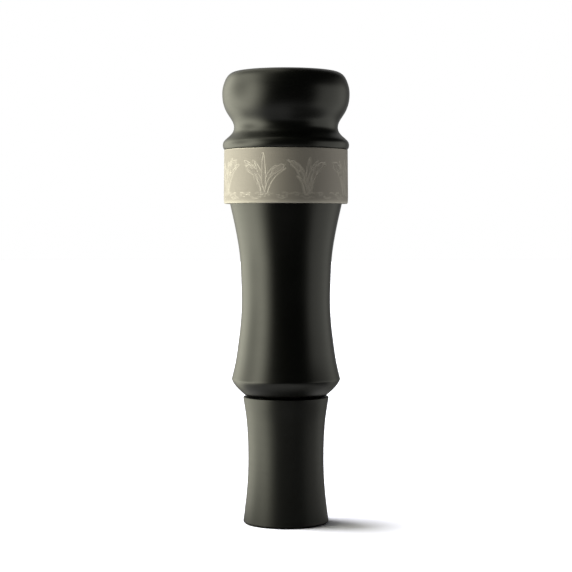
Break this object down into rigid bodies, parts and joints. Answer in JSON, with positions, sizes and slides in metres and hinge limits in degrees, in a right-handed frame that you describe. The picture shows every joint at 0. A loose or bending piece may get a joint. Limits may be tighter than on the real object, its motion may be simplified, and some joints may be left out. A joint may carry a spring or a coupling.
{
  "type": "duck call",
  "caption": "Turned duck call with a flared mouthpiece, lanyard neck, metal band, waisted barrel and a pull-out insert carrying two reeds under a cork wedge.",
  "frame": {"origin": "centre of the insert's flat end face, which the call stands on", "axes": "+Z along the call's axis towards the mouthpiece, -Y from the axis towards the reeds, +X completes the right-handed frame"},
  "size_m": [0.0358, 0.0358, 0.1271],
  "materials": {
    "barrel_body": "satin",
    "insert_body": "satin",
    "band_metal": "satin",
    "o_ring_rubber": "matte",
    "reed_film": "satin",
    "rivet_brass": "satin",
    "cork": "matte"
  },
  "bodies": {
    "insert": {"insert": "insert_body"},
    "seal_rings": {"lower_o_ring": "o_ring_rubber", "upper_o_ring": "o_ring_rubber"},
    "barrel": {"barrel": "barrel_body", "band": "band_metal"},
    "lower_reed": {"lower_reed": "reed_film", "reed_spacer_rivet": "rivet_brass"},
    "upper_reed": {"upper_reed": "reed_film"},
    "wedge": {"cork_wedge": "cork"}
  },
  "joints": [
    {"name": "barrel_twist", "type": "hinge", "parent": "insert", "child": "seal_rings", "pos_m": [0, 0, 0.0427], "axis": [0, 0, 1], "continuous": true},
    {"name": "barrel_pull", "type": "slide", "parent": "seal_rings", "child": "barrel", "axis": [0, 0, 1], "range_m": [-0.0003, 0.06]},
    {"name": "lower_reed_flex", "type": "hinge", "parent": "insert", "child": "lower_reed", "pos_m": [0, -0.0015, 0.0606], "axis": [-1, 0, 0], "range_deg": [0, 1.8], "stiffness_Nm_per_rad": 0.006},
    {"name": "upper_reed_flex", "type": "hinge", "parent": "insert", "child": "upper_reed", "pos_m": [0, -0.0015, 0.0606], "axis": [-1, 0, 0], "range_deg": [0, 1.8], "stiffness_Nm_per_rad": 0.006},
    {"name": "wedge_slide", "type": "slide", "parent": "insert", "child": "wedge", "axis": [0, 0, 1], "range_m": [0, 0.014]}
  ],
  "couplings": [
    {"joint": "upper_reed_flex", "follows": "lower_reed_flex", "ratio": 1}
  ]
}
